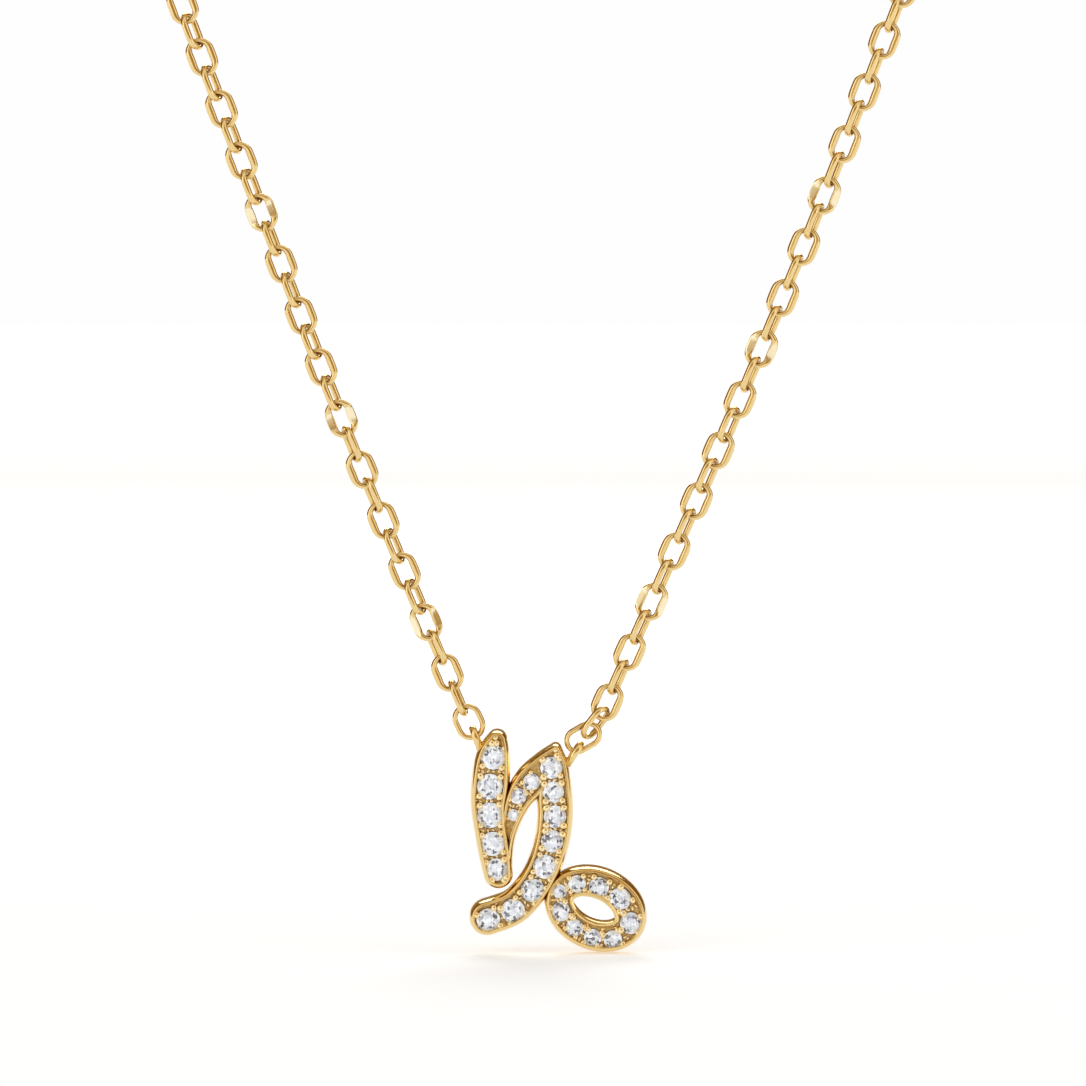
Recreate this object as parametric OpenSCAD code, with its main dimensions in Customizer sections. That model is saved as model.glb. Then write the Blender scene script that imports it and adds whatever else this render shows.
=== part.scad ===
// Fine gold necklace with a pavé pendant in the shape of a flowing sign, hung between two bails.
// The frame is that of the worn necklace: +Z up, the viewer at -Y, the origin on the neck's axis
// level with the clasp. The pendant is drawn flat in the XY plane, front up, and then stood up.

/* [Pendant] */
// Thickness of the pendant, from its back to the top of the leaf's rim
pendant_depth = 1.45; // [1.3:0.05:1.8]
// How far the back lies behind the line through the two bails
pendant_back = 0.6; // [0.5:0.02:0.8]
// Width of the polished rim round each ribbon
rim_width = 0.26; // [0.2:0.01:0.3]
// Depth of the sunk floor below the rim
floor_depth = 0.3; // [0.2:0.02:0.4]
// How far the upper edge of the rim is set in from the outer wall
rim_draft = 0.09; // [0.04:0.01:0.12]
// Height over which the wall is set in below the top of the rim
draft_height = 0.3; // [0.1:0.05:0.5]

/* [Stones] */
// Gap between a stone and its seat
seat_gap = 0.04; // [0.03:0.01:0.06]
// Height of a stone's girdle above the floor
girdle_rise = 0.07; // [0.04:0.01:0.1]
// Diameter of the small hole behind each stone
azure_d = 0.36; // [0.2:0.02:0.4]
// Diameter of a bead prong
bead_d = 0.22; // [0.16:0.01:0.24]
// Height of a bead prong above the floor
bead_height = 0.2; // [0.1:0.02:0.26]

/* [Bails] */
// Wire of the two bails
bail_wire = 0.32; // [0.26:0.01:0.34]
// Radius of a bail, to the middle of its wire
bail_radius = 0.4; // [0.38:0.01:0.44]

/* [Chain] */
// Distance from one link to the next
link_pitch = 1.315; // [1.3:0.005:1.35]
// Outer width of a link
link_width = 1.29; // [1.2:0.01:1.35]
// Wire of a link
link_wire = 0.24; // [0.2:0.01:0.26]
// Gap between two links where they hook together
link_gap = 0.1; // [0.1:0.01:0.14]
// Links in the front stretch of each side
front_links = 96; // [30:1:104]
// How far the upright links are turned off the line of sight
upright_roll = 12; // [0:1:20]
// Diameter of the plain tube that stands for the hidden stretch of chain
back_chain_d = 1.2; // [1:0.1:1.3]

/* [Clasp] */
// Outer diameter of the spring ring
clasp_d = 5.5; // [5:0.1:6]
// Wire of the spring ring
clasp_wire = 1; // [0.8:0.05:1.2]
// Outer diameter of the eye on the spring ring
eye_d = 2; // [1.8:0.1:2.4]
// Wire of the eye
eye_wire = 0.45; // [0.4:0.05:0.5]

/* [Hidden] */
$fn = 32;
gold_tint = [0.87, 0.68, 0.38];
stone_tint = [0.92, 0.95, 0.98];

// Place of the flat drawing's origin, the point under the bails at the foot of the pendant
pendant_place = [0, -62, -142.1];

// Ribbons of the pendant: x, y and half width along the middle of each, in the flat drawing
LEAF = [[-2.19, 10.29, 0.5], [-2.39, 9.43, 0.83], [-2.52, 8.2, 0.93], [-2.6, 7.1, 0.86],
        [-2.48, 5.95, 0.81], [-2.3, 4.9, 0.8], [-2.14, 3.9, 0.72]];
ARCH = [[0.6, 9.85, 0.3], [0.33, 9.35, 0.58], [0.02, 8.88, 0.78], [-0.57, 8.31, 0.81],
        [-1.12, 7.57, 0.69], [-1.48, 6.67, 0.55], [-1.68, 5.71, 0.4], [-1.72, 4.76, 0.3],
        [-1.71, 4.1, 0.27]];
STEM = [[0.6, 9.85, 0.3], [0.54, 9.35, 0.56], [0.52, 8.85, 0.75], [0.56, 7.62, 0.87],
        [0.58, 6.67, 0.87], [0.45, 5.57, 0.86], [0.12, 4.43, 0.83], [-0.48, 3.29, 0.82],
        [-1.4, 2.29, 0.85], [-2.67, 1.79, 0.87]];
// The loop is an ellipse with a pointed oval hole: centre x and y, half length, half width, tilt
LOOP = [2.52, 2.19, 2.54, 1.98, -23];
LOOP_HOLE = [2.45, 2.21, 1.08, 0.5, -26];
// Power that draws the ends of the loop's hole to points
hole_point = 1.3;
// How far the rim of each ribbon lies below that of the leaf, which passes over the others
arch_drop = 0.05;
loop_drop = 0.12;
// Extra half width of the rim round the loop's hole
hole_rim = 0.17;

// Stones: x, y and diameter in the flat drawing, from the head of each ribbon
LEAF_STONES = [[-2.37, 9.5, 1.2], [-2.53, 8.09, 1.24], [-2.53, 6.72, 1.24], [-2.41, 5.35, 1.17],
               [-2.22, 4.12, 1.09]];
ARCH_STONES = [[-0.55, 8.31, 0.83], [-1.18, 7.62, 0.79], [-1.41, 6.72, 0.59]];
STEM_STONES = [[0.4, 8.99, 1.07], [0.49, 7.82, 1.05], [0.57, 6.65, 1.09], [0.44, 5.47, 1.09],
               [0.1, 4.25, 1.16], [-0.49, 3.12, 1.16], [-1.43, 2.14, 1.16], [-2.61, 1.69, 1.15]];
LOOP_STONES = [[0.79, 3.06, 0.7], [1.63, 3.42, 0.86], [2.67, 3.27, 0.97], [3.67, 2.69, 1.09],
               [4.19, 1.54, 1.06], [3.34, 0.75, 0.9], [2.37, 0.84, 0.86], [1.51, 1.32, 0.85],
               [0.85, 2.09, 0.95]];

// Cut of a stone, as shares of its diameter
table_share = 0.57;
star_share = 0.8;
crown_share = 0.14;
girdle_share = 0.03;
pavilion_share = 0.43;

// Bails: x and y of the wire that each holds, its lean from upright and the length of its legs
BAIL_LEFT = [-3.21, 10.43, 16.5, 0.85];
BAIL_RIGHT = [1.56, 9.72, -20, 1.2];

// Lowest links: x and y of the middle, lean from upright, length, width and roll
FIRST_LEFT = [-3.54, 11.14, 25, 1.8, 1.42, 0];
FIRST_RIGHT = [1.92, 10.39, -60, 1.9, 1.29, 0];
SECOND_RIGHT = [2.5, 11.1, -38, 1.9, 1.29, 58];

// Routes of the chain from the first regular link up round the neck to the nape
BACK_RIGHT = [[23.5, -60.5, -79.5], [30.5, -55.5, -61], [37.5, -46.5, -43], [43, -33, -28],
              [45.5, -17, -17.5], [45, 0, -11], [39.5, 16.5, -6.5], [30, 30, -3.5],
              [16.5, 40, -1], [0, 44, 0]];
BACK_LEFT = [for (row = BACK_RIGHT) [-row[0], row[1], row[2]]];
ROUTE_LEFT = concat([[-3.8, -62, -130.42], [-9.1, -62, -117.75], [-13.4, -62, -106.68],
                     [-17.2, -62, -96.65]], BACK_LEFT);
ROUTE_RIGHT = concat([[2.8, -62, -130.62], [8.2, -62, -118.35], [12.9, -62, -107.08],
                      [17, -62, -96.45]], BACK_RIGHT);

link_length = link_pitch + 2 * link_wire + link_gap;
front_length = front_links * link_pitch;
rim_top = pendant_depth - pendant_back;

// How far a cut runs past the surface that it opens
past = 1;
// How deep a bead stands in the floor
bead_root = 0.1;
// Gap between the foot of a bead and the edge of its stone
bead_gap = 0.01;
// How far one layer of a wall runs into the next
layer_overlap = 0.01;
// Points of a smooth curve for each stretch between two rows of a table
ribbon_steps = 6;
route_steps = 16;
// Distance from the middle at which a link faces straight out; nearer, it faces more to the front
side_reach = 60;
// Tube of the hidden stretch: sides, and its rings' spacing in diameters
tube_sides = 8;
tube_ring_spacing = 2.5;
// Half of the stretch of a route over which its direction is taken
route_sight = 0.2;

function stone_names(ribbon, rows) = [for (i = [1:len(rows)]) str("stone_", ribbon, "_", i)];

// Curves
function unit(v) = v / norm(v);
function turned(v, angle) = [v[0] * cos(angle) - v[1] * sin(angle),
                             v[0] * sin(angle) + v[1] * cos(angle)];
function between(a, b, c, d, t) =
    b + (c - a) * t / 2 + (a - 2.5 * b + 2 * c - d / 2) * t * t
    + (3 * b - 3 * c + d - a) * t * t * t / 2;
function smooth(rows, steps) =
    let (last = len(rows) - 1)
    concat([for (i = [0:last - 1]) for (k = [0:steps - 1])
                between(rows[max(i - 1, 0)], rows[i], rows[i + 1], rows[min(i + 2, last)],
                        k / steps)],
           [rows[last]]);

// Outline round the circles that a ribbon's half widths make, taken in all round by an inset
function ribbon_outline(rows, inset) =
    let (mid = smooth(rows, ribbon_steps), last = len(mid) - 1,
         step = [for (i = [0:last]) mid[min(i + 1, last)] - mid[max(i - 1, 0)]],
         heading = [for (d = step) atan2(d[1], d[0])],
         side = [for (d = step) 90 + asin(d[2] / norm([d[0], d[1]]))],
         at = function(i, angle) [mid[i][0], mid[i][1]]
              + (mid[i][2] - inset) * [cos(heading[i] + angle), sin(heading[i] + angle)])
    concat([for (i = [0:last]) at(i, side[i])],
           [for (k = [1:11]) at(last, side[last] * (1 - k / 6))],
           [for (i = [last:-1:0]) at(i, -side[i])],
           [for (k = [1:11]) at(0, -side[0] - (360 - 2 * side[0]) * k / 12)]);

module ribbon(rows, inset) {
    polygon(ribbon_outline(rows, inset));
}

module oval(row, inset, point = 1) {
    polygon([for (a = [0:7.5:352.5])
                 [row[0], row[1]]
                 + turned([(row[2] - inset) * cos(a),
                           (row[3] - inset) * sign(sin(a)) * pow(abs(sin(a)), point)],
                          row[4])]);
}

// Solid between two heights of the flat drawing
module slab(low, high) {
    translate([0, 0, low]) linear_extrude(high - low) children();
}

// The wall of a ribbon and its narrower upper edge
module walled(top) {
    slab(-pendant_back, top - draft_height) children(0);
    slab(top - draft_height - layer_overlap, top) children(1);
}

// Stones
function crown_point(d, share, angle, height) = [d / 2 * share * cos(angle),
                                                 d / 2 * share * sin(angle), height];

module brilliant(d) {
    crown = crown_share * d;
    half_girdle = girdle_share * d / 2;
    star_height = crown * (1 - star_share * cos(22.5)) / (1 - table_share);
    points = concat(
        [for (k = [0:7]) crown_point(d, table_share, 45 * k, half_girdle + crown)],
        [for (k = [0:7]) crown_point(d, star_share, 45 * k + 22.5, half_girdle + star_height)],
        [for (k = [0:15]) crown_point(d, 1, 22.5 * k, half_girdle)],
        [for (k = [0:15]) crown_point(d, 1, 22.5 * k, -half_girdle)],
        [[0, 0, -half_girdle - pavilion_share * d]]);
    table = function(k) k % 8;
    star = function(k) 8 + (k + 8) % 8;
    upper = function(k) 16 + k % 16;
    lower = function(k) 32 + k % 16;
    culet = 48;
    faces = concat(
        [[for (k = [7:-1:0]) table(k)]],
        [for (k = [0:7]) [table(k), table(k + 1), star(k)]],
        [for (k = [0:7]) [table(k), star(k), upper(2 * k), star(k - 1)]],
        [for (k = [0:7]) [star(k), upper(2 * k + 1), upper(2 * k)]],
        [for (k = [0:7]) [star(k), upper(2 * k + 2), upper(2 * k + 1)]],
        [for (k = [0:15]) [upper(k), upper(k + 1), lower(k + 1), lower(k)]],
        [for (k = [0:15]) [lower(k), lower(k + 1), culet]]);
    polyhedron(points, faces);
}

// Seat of a stone with a small hole to the back, turned about the stone's axis
module seat(d) {
    r = d / 2 + seat_gap;
    low = -girdle_share * d / 2 - seat_gap;
    tip = low - pavilion_share * d - seat_gap;
    hole = azure_d / 2;
    rotate_extrude()
        polygon([[0, past], [r, past], [r, low], [hole, low + (tip - low) * (1 - hole / r)],
                 [hole, -pendant_depth - past], [0, -pendant_depth - past]]);
}

function stone_height(drop) = rim_top - drop - floor_depth + girdle_rise;

// Heading of the ribbon at a stone, from the stones beside it
function stone_heading(rows, i, closed) =
    let (n = len(rows),
         next = closed ? rows[(i + 1) % n] : rows[min(i + 1, n - 1)],
         before = closed ? rows[(i + n - 1) % n] : rows[max(i - 1, 0)],
         d = next - before)
    atan2(d[1], d[0]);

// Four bead prongs round each stone of a ribbon, kept within the outline given as the child
module beads(rows, drop, closed = false) {
    floor_top = rim_top - drop - floor_depth;
    slab(floor_top - bead_root, floor_top + bead_height) intersection() {
        union() for (i = [0:len(rows) - 1]) for (side = [45:90:315]) {
            reach = (rows[i][2] + bead_d) / 2 + bead_gap;
            translate([rows[i][0], rows[i][1]])
                rotate(stone_heading(rows, i, closed) + side)
                    translate([reach, 0]) circle(d = bead_d);
        }
        children();
    }
}

module seats(rows, drop) {
    for (row = rows) translate([row[0], row[1], stone_height(drop)]) seat(row[2]);
}

// Half-ring bail round the wire that it holds, with two legs down into the pendant's wall
module bail(row) {
    translate([row[0], row[1], 0]) rotate([0, 90, row[2]]) {
        rotate_extrude(angle = 180) translate([bail_radius, 0]) circle(d = bail_wire);
        for (x = [-bail_radius, bail_radius])
            translate([x, 0, 0]) rotate([90, 0, 0]) cylinder(d = bail_wire, h = row[3]);
    }
}

// Gold body of the pendant in the flat drawing
module flat_setting() {
    difference() {
        union() {
            difference() {
                union() {
                    walled(rim_top) {
                        ribbon(LEAF, 0);
                        ribbon(LEAF, rim_draft);
                    }
                    walled(rim_top - arch_drop) {
                        union() {
                            ribbon(ARCH, 0);
                            ribbon(STEM, 0);
                        }
                        union() {
                            ribbon(ARCH, rim_draft);
                            ribbon(STEM, rim_draft);
                        }
                    }
                    walled(rim_top - loop_drop) {
                        oval(LOOP, 0);
                        oval(LOOP, rim_draft);
                    }
                }
                slab(rim_top - floor_depth, rim_top + past) ribbon(LEAF, rim_width);
                slab(rim_top - arch_drop - floor_depth, rim_top + past) difference() {
                    union() {
                        ribbon(ARCH, rim_width);
                        ribbon(STEM, rim_width);
                    }
                    ribbon(LEAF, 0);
                }
                slab(rim_top - loop_drop - floor_depth, rim_top + past) difference() {
                    oval(LOOP, rim_width);
                    oval(LOOP_HOLE, -hole_rim, hole_point);
                    ribbon(STEM, 0);
                }
                slab(-pendant_back - past, rim_top + past) oval(LOOP_HOLE, 0, hole_point);
            }
            beads(LEAF_STONES, 0) ribbon(LEAF, rim_width / 2);
            beads(ARCH_STONES, arch_drop) ribbon(ARCH, rim_width / 2);
            beads(STEM_STONES, arch_drop) ribbon(STEM, rim_width / 2);
            beads(LOOP_STONES, loop_drop, true) oval(LOOP, rim_width / 2);
            bail(BAIL_LEFT);
            bail(BAIL_RIGHT);
        }
        seats(LEAF_STONES, 0);
        seats(ARCH_STONES, arch_drop);
        seats(STEM_STONES, arch_drop);
        seats(LOOP_STONES, loop_drop);
    }
}

// Stands the flat drawing up in its place on the necklace
module hung() {
    translate(pendant_place) rotate([90, 0, 0]) children();
}

module setting() {
    color(gold_tint) hung() flat_setting();
}

module stone(row, drop) {
    color(stone_tint) hung() translate([row[0], row[1], stone_height(drop)]) brilliant(row[2]);
}

// Link with its length along X and its width along Y
module link(length, width) {
    r = (width - link_wire) / 2;
    half_straight = (length - width) / 2;
    for (side = [0, 1]) mirror([side, 0, 0]) translate([half_straight, 0, 0]) rotate(-90)
        rotate_extrude(angle = 180) translate([r, 0]) circle(d = link_wire);
    for (y = [-r, r]) translate([-half_straight, y, 0]) rotate([0, 90, 0])
        cylinder(d = link_wire, h = 2 * half_straight);
}

module first_link(row) {
    hung() translate([row[0], row[1], 0]) rotate(90 + row[2]) rotate([row[5], 0, 0])
        link(row[3], row[4]);
}

// A route as three lookup tables, one for each coordinate, by the distance along it
function measured(points) =
    let (far = [for (i = 0, s = 0; i < len(points); i = i + 1,
                     s = i < len(points) ? s + norm(points[i] - points[i - 1]) : s) s])
    [for (k = [0:2]) [for (i = [0:len(points) - 1]) [far[i], points[i][k]]]];
function route_at(tables, s) = [for (k = [0:2]) lookup(s, tables[k])];
function route_length(tables) = tables[0][len(tables[0]) - 1][0];

// Direction out of the neck at a point of the chain, square to the chain there
function outward(p, along) =
    let (out = [p[0] * abs(p[0]) / side_reach, p[1], 0]) unit(out - (out * along) * along);

MEASURED_LEFT = measured(smooth(ROUTE_LEFT, route_steps));
MEASURED_RIGHT = measured(smooth(ROUTE_RIGHT, route_steps));

// Regular links along the first stretch of a route; every second one starting with upright_at
module run_of_links(tables, upright_at) {
    for (i = [0:front_links - 1]) {
        p = route_at(tables, i * link_pitch);
        q = route_at(tables, (i + 1) * link_pitch);
        x = unit(q - p);
        z = outward((p + q) / 2, x);
        y = cross(z, x);
        c = (p + q) / 2;
        roll = i % 2 == upright_at ? 90 - upright_roll : 0;
        multmatrix([[x[0], y[0], z[0], c[0]], [x[1], y[1], z[1], c[1]],
                    [x[2], y[2], z[2], c[2]], [0, 0, 0, 1]])
            rotate([roll, 0, 0]) link(link_length, link_width);
    }
}

module chain_left() {
    color(gold_tint) {
        first_link(FIRST_LEFT);
        run_of_links(MEASURED_LEFT, 0);
    }
}

module chain_right() {
    color(gold_tint) {
        first_link(FIRST_RIGHT);
        first_link(SECOND_RIGHT);
        run_of_links(MEASURED_RIGHT, 1);
    }
}

// Tube along the rest of a route, up to a distance short of its end
module back_chain(tables, short) {
    start = front_length + (link_length - link_pitch) / 2 + link_gap;
    stop = route_length(tables) - short;
    rings = ceil((stop - start) / (tube_ring_spacing * back_chain_d));
    sides = tube_sides;
    points = [for (i = [0:rings])
                  let (s = start + (stop - start) * i / rings,
                       c = route_at(tables, s),
                       along = unit(route_at(tables, s + route_sight)
                               - route_at(tables, s - route_sight)),
                       out = outward(c, along),
                       across = cross(out, along))
                  for (k = [0:sides - 1])
                      c + back_chain_d / 2 * (cos(360 * k / sides) * across
                                              + sin(360 * k / sides) * out)];
    faces = concat([[for (k = [0:sides - 1]) k]],
                   [for (i = [0:rings - 1]) for (k = [0:sides - 1])
                        [i * sides + k, i * sides + sides + k,
                         i * sides + sides + (k + 1) % sides, i * sides + (k + 1) % sides]],
                   [[for (k = [sides - 1:-1:0]) rings * sides + k]]);
    color(gold_tint) polyhedron(points, faces);
}

// Spring ring at the nape with its eye on the left
eye_x = -(clasp_d + eye_d - eye_wire) / 2;
left_short = -eye_x + eye_d / 2 + link_gap;
right_short = clasp_d / 2 + link_gap;

module clasp() {
    color(gold_tint) translate(BACK_RIGHT[len(BACK_RIGHT) - 1]) rotate([90, 0, 0]) {
        rotate_extrude() translate([(clasp_d - clasp_wire) / 2, 0]) circle(d = clasp_wire);
        translate([eye_x, 0, 0])
            rotate_extrude() translate([(eye_d - eye_wire) / 2, 0]) circle(d = eye_wire);
    }
}

module stone_row(ribbon_name, rows, drop) {
    names = stone_names(ribbon_name, rows);
    for (i = [0:len(rows) - 1]) stone(rows[i], drop);
}

setting();
stone_row("leaf", LEAF_STONES, 0);
stone_row("arch", ARCH_STONES, arch_drop);
stone_row("stem", STEM_STONES, arch_drop);
stone_row("loop", LOOP_STONES, loop_drop);
chain_left();
chain_right();
back_chain(MEASURED_LEFT, left_short);  // back_chain_left
back_chain(MEASURED_RIGHT, right_short);  // back_chain_right
clasp();
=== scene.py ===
# Fine gold necklace with a pavé pendant in the shape of a flowing sign, hung between two bails.
# Lengths are millimetres in the flat drawing of the pendant, and metres once a piece is in place.
import bisect
import math
import random

import bmesh
import bpy
from mathutils import Matrix, Vector


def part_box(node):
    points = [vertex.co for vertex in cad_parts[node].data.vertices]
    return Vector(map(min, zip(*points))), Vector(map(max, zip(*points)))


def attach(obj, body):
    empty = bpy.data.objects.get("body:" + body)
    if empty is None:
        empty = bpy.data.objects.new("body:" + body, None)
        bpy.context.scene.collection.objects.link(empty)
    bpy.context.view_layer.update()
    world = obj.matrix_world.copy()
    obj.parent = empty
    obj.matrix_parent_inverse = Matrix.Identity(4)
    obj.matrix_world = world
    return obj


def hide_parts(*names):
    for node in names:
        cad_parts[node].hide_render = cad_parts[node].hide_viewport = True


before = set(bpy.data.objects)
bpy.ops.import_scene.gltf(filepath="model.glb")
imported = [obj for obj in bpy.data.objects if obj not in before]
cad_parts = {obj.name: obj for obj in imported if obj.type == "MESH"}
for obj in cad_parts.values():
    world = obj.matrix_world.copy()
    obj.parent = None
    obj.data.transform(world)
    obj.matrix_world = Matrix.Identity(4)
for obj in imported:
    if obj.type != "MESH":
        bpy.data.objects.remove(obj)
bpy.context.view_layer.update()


# The view: a long lens from a little above, as for a jewel in a shop's catalogue. It shows the
# pendant and the lowest 37 mm of each chain. The lamps are wide soft boxes, one behind the pendant
# and one to each side of the camera.
MM = 0.001
PENDANT_Y = -62
FOOT_Z = -142.1
PX_PER_MM = 20.95
PHOTO_SIDE = 1086
MIDDLE_Z = -122.4
LENS = 200
SENSOR = 36
CAMERA_RISE = math.radians(2.5)
# Lamps: place and size in metres, and watts
LAMPS = {
    "back_lamp": ((0.02, 0.36, 0.2), (0.4, 0.25), 1.0),
    "left_lamp": ((-0.6, -0.5, 0.05), (0.3, 0.7), 0.6),
    "right_lamp": ((0.65, -0.4, 0.1), (0.15, 0.6), 0.3),
}
LAMP_AIM_RISE = 6

distance = PHOTO_SIDE / PX_PER_MM * LENS / SENSOR
aim = Vector((0, PENDANT_Y, MIDDLE_Z)) * MM
back = Vector((0, -math.cos(CAMERA_RISE), math.sin(CAMERA_RISE)))
camera = bpy.data.objects.new("camera", bpy.data.cameras.new("camera"))
bpy.context.scene.collection.objects.link(camera)
camera.data.lens = LENS
camera.data.sensor_width = SENSOR
camera.data.clip_start = 0.01
camera.data.clip_end = 50
camera.location = aim + back * distance * MM
camera.rotation_euler = back.to_track_quat("Z", "Y").to_euler()
bpy.context.scene.camera = camera
bpy.context.scene.view_settings.view_transform = "Standard"


def soft_box(name, place, size, watts):
    """Wide lamp that faces the pendant and that the camera doesn't see."""
    lamp = bpy.data.lights.new(name, "AREA")
    lamp.shape = "RECTANGLE"
    lamp.size, lamp.size_y = size
    lamp.energy = watts
    obj = bpy.data.objects.new(name, lamp)
    bpy.context.scene.collection.objects.link(obj)
    obj.location = place
    towards = Vector(place) - Vector((0, PENDANT_Y, FOOT_Z + LAMP_AIM_RISE)) * MM
    obj.rotation_euler = towards.to_track_quat("Z", "Y").to_euler()
    obj.visible_camera = False


for name, (place, size, watts) in LAMPS.items():
    soft_box(name, place, size, watts)


# Shader maths: a value on which Python's arithmetic adds Math nodes, and a node tree, of a
# material or of the tent, that adds its other nodes by one method.
class Value:
    """An output of a node. Arithmetic on it adds Math nodes."""

    def __init__(self, finish, socket):
        self.finish = finish
        self.socket = socket

    def math(self, operation, *values):
        return self.finish.math(operation, *values)

    def __add__(self, other):
        return self.math("ADD", self, other)

    def __radd__(self, other):
        return self.math("ADD", other, self)

    def __sub__(self, other):
        return self.math("SUBTRACT", self, other)

    def __rsub__(self, other):
        return self.math("SUBTRACT", other, self)

    def __mul__(self, other):
        return self.math("MULTIPLY", self, other)

    def __rmul__(self, other):
        return self.math("MULTIPLY", other, self)

    def __pow__(self, other):
        return self.math("POWER", self, other)


class Finish:
    """The node tree of a new material or, where one is given, of a world."""

    def __init__(self, name, world=None):
        self.owner = world or bpy.data.materials.new(name)
        self.owner.use_nodes = True
        self.tree = self.owner.node_tree
        self.tree.nodes.clear()

    def node(self, kind, settings=None, inputs=None, out=0):
        """Adds a node, sets it, fills its sockets and gives one of its outputs."""
        node = self.tree.nodes.new(kind)
        for key, value in (settings or {}).items():
            if key == "stops":
                ramp = node.color_ramp
                while len(ramp.elements) < len(value):
                    ramp.elements.new(0.5)
                for stop, (position, colour) in zip(ramp.elements, value):
                    stop.position = position
                    stop.color = (*colour, 1)
            else:
                setattr(node, key, value)
        for key, value in (inputs or {}).items():
            if isinstance(value, Value):
                self.tree.links.new(value.socket, node.inputs[key])
            else:
                node.inputs[key].default_value = value
        return Value(self, node.outputs[out]) if node.outputs else None

    def place(self, scale=1.0):
        """Object coordinates, in cells of 1 / scale metres."""
        here = self.node("ShaderNodeTexCoord", out="Object")
        return self.node("ShaderNodeMapping", inputs={"Vector": here, "Scale": (scale,) * 3})

    def noise(self, scale, detail, **others):
        """Cloudy pattern in cells of 1 / (5 * scale) metres, as a Noise node has a scale of 5."""
        inputs = {"Vector": self.place(scale), "Detail": detail, **others}
        return self.node("ShaderNodeTexNoise", inputs=inputs)

    def math(self, operation, *values):
        return self.node("ShaderNodeMath", {"operation": operation}, dict(enumerate(values)))

    def vector(self, operation, *values, out=0):
        return self.node("ShaderNodeVectorMath", {"operation": operation}, dict(enumerate(values)), out)

    def mixed(self, share, first, second):
        """Colour between two, by a share."""
        return self.node("ShaderNodeMix", {"data_type": "RGBA"}, {0: share, 6: first, 7: second}, out=2)

    def done(self, surface):
        self.node("ShaderNodeOutputMaterial", inputs={"Surface": surface})
        return self.owner


# Tent: a wrap of cloth round the necklace, palest well to the sides of the camera, that mirrors in
# the gold. The camera sees it as plain white, and its diffuse light is grey. Its shades run from
# the far side to the near side.
TENT_AXIS = (0.17, -0.465, 0.05)
TENT_SHADES = [(0.0, (0.36, 0.22, 0.07)), (0.1, (0.22, 0.11, 0.02)), (0.36, (0.15, 0.065, 0.009)),
               (0.5, (0.46, 0.29, 0.09)), (0.64, (0.92, 0.89, 0.82)), (0.8, (0.88, 0.81, 0.67)),
               (0.97, (0.42, 0.25, 0.07))]
SEEN_WHITE = (0.99, 0.99, 0.99, 1)
world = bpy.data.worlds.new("tent")
bpy.context.scene.world = world
tent = Finish("tent", world)
facing = tent.vector("DOT_PRODUCT", tent.node("ShaderNodeTexCoord"), TENT_AXIS, out="Value")
shades = tent.node("ShaderNodeValToRGB", {"stops": TENT_SHADES}, {"Fac": facing + 0.5})
grey = tent.node("ShaderNodeRGBToBW", inputs={"Color": shades})
cloth = tent.mixed(tent.node("ShaderNodeLightPath", out="Is Diffuse Ray"), shades, grey)
dim = tent.node("ShaderNodeBackground", inputs={"Color": cloth})
white = tent.node("ShaderNodeBackground", inputs={"Color": SEEN_WHITE})
seen = tent.node("ShaderNodeLightPath", out="Is Camera Ray")
either = tent.node("ShaderNodeMixShader", inputs={"Fac": seen, 1: dim, 2: white})
tent.node("ShaderNodeOutputWorld", inputs={"Surface": either})


# Board: a white floor just under the pendant. It glows, more so further out, so that it stays
# white while the pendant's shade on it stays faint.
FLOOR_GAP = 0.05
FLOOR_SIDE = 8
BOARD_WHITE = (0.93, 0.93, 0.93, 1)
BOARD_GRAIN = 40
GLOW_NEAR = (0.19, 0.19, 0.19, 1)
GLOW_FAR = (0.66, 0.66, 0.66, 1)
GLOW_REACH = 0.8
GLOW_POWER = 0.6
floor_shape = bmesh.new()
bmesh.ops.create_grid(floor_shape, x_segments=1, y_segments=1, size=FLOOR_SIDE / 2)
floor_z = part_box("setting")[0].z - FLOOR_GAP * MM
bmesh.ops.translate(floor_shape, vec=(0, 0, floor_z), verts=floor_shape.verts)
floor_mesh = bpy.data.meshes.new("white_board")
floor_shape.to_mesh(floor_mesh)
floor_shape.free()
white_board = bpy.data.objects.new("white_board", floor_mesh)
bpy.context.scene.collection.objects.link(white_board)
board = Finish("white_board")
far = board.vector("LENGTH", board.place(), out="Value")
out_share = board.math("MINIMUM", far * (1 / GLOW_REACH), 1.0)
board_skin = board.node("ShaderNodeBsdfPrincipled", inputs={
    "Base Color": BOARD_WHITE,
    "Roughness": 0.6 + 0.1 * board.noise(BOARD_GRAIN, 2.0),
    "Emission Color": board.mixed(out_share ** GLOW_POWER, GLOW_NEAR, GLOW_FAR),
    "Emission Strength": 1.0,
})
white_board.data.materials.append(board.done(board_skin))


# Gold of the whole necklace, a yellow alloy of about 14 carats: a polished skin with clouds and
# faint wipe marks, with painted shade that darkens it in nooks. The sunk floors are the same gold,
# left grainy by the graver, with painted shade in their nooks too.
GOLD = (0.88, 0.685, 0.34, 1)
GOLD_DEEP = (0.82, 0.56, 0.18, 1)
CREVICE_PAINTED_SHADE = (0.3, 0.14, 0.02, 1)
CLOUD_SCALE = 700
WIPE_SCALE = 3500
WIPE_BUMP = {"Strength": 0.05, "Distance": 0.00002}
PAINTED_SHADE_REACH = 0.18
PAINTED_SHADE_POWER = 0.8
FLOOR_LIGHT = (1.0, 0.82, 0.4, 1)
FLOOR_SHADE = (0.6, 0.34, 0.07, 1)
FLOOR_PAINTED_SHADE = (0.45, 0.22, 0.03, 1)
GRAIN_SCALE = 1700
GRAIN_BUMP = {"Strength": 0.9, "Distance": 0.00006}
GRAIN_SPARK = (3.4, -1.2)
FLOOR_PAINTED_SHADE_REACH = 0.35


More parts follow.
